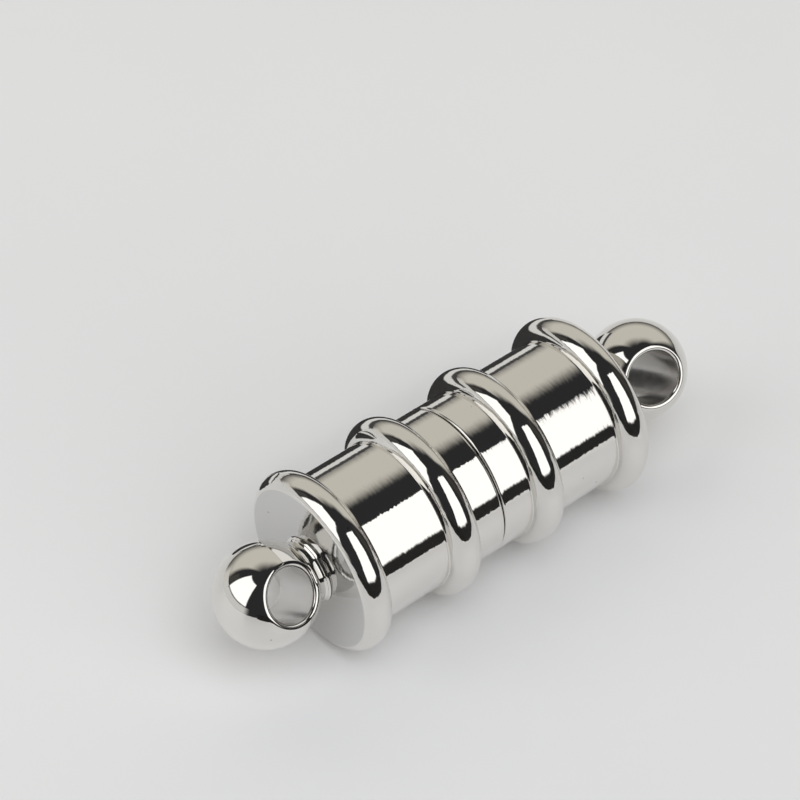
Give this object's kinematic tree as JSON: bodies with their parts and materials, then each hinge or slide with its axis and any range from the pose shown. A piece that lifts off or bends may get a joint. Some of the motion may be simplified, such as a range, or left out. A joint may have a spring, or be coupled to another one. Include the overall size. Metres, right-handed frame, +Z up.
{
  "type": "magnetic clasp",
  "caption": "Barrel-shaped magnetic jewellery clasp: ringed cups that meet end to end, each with a riveted ball swivel cross-drilled for a jump ring.",
  "frame": {"origin": "on the resting plane, below the middle of the clasp's overall length", "axes": "+X along the clasp's axis from the left ball to the right ball, +Z up, -Y towards the side the picture was taken from"},
  "size_m": [0.018, 0.006, 0.006],
  "materials": {
    "plated_cup": "bright silver-coloured plating on turned brass, mirror polished",
    "plated_swivel": "bright silver-coloured plating on turned brass, mirror polished",
    "magnet": "satin nickel plating on a sintered magnet"
  },
  "bodies": {
    "half_a": {"cup_a": "plated_cup", "magnet_a": "magnet"},
    "half_b": {"cup_b": "plated_cup", "magnet_b": "magnet"},
    "swivel_a": {"ball_end_a": "plated_swivel"},
    "swivel_b": {"ball_end_b": "plated_swivel"}
  },
  "joints": [
    {"name": "pull_apart", "type": "slide", "parent": "half_a", "child": "half_b", "axis": [1, 0, 0], "range_m": [0, 0.02]},
    {"name": "left_swivel", "type": "hinge", "parent": "half_a", "child": "swivel_a", "pos_m": [-0.00543, 0, 0.003], "axis": [1, 0, 0], "continuous": true},
    {"name": "right_swivel", "type": "hinge", "parent": "half_b", "child": "swivel_b", "pos_m": [0.00513, 0, 0.003], "axis": [1, 0, 0], "continuous": true}
  ]
}
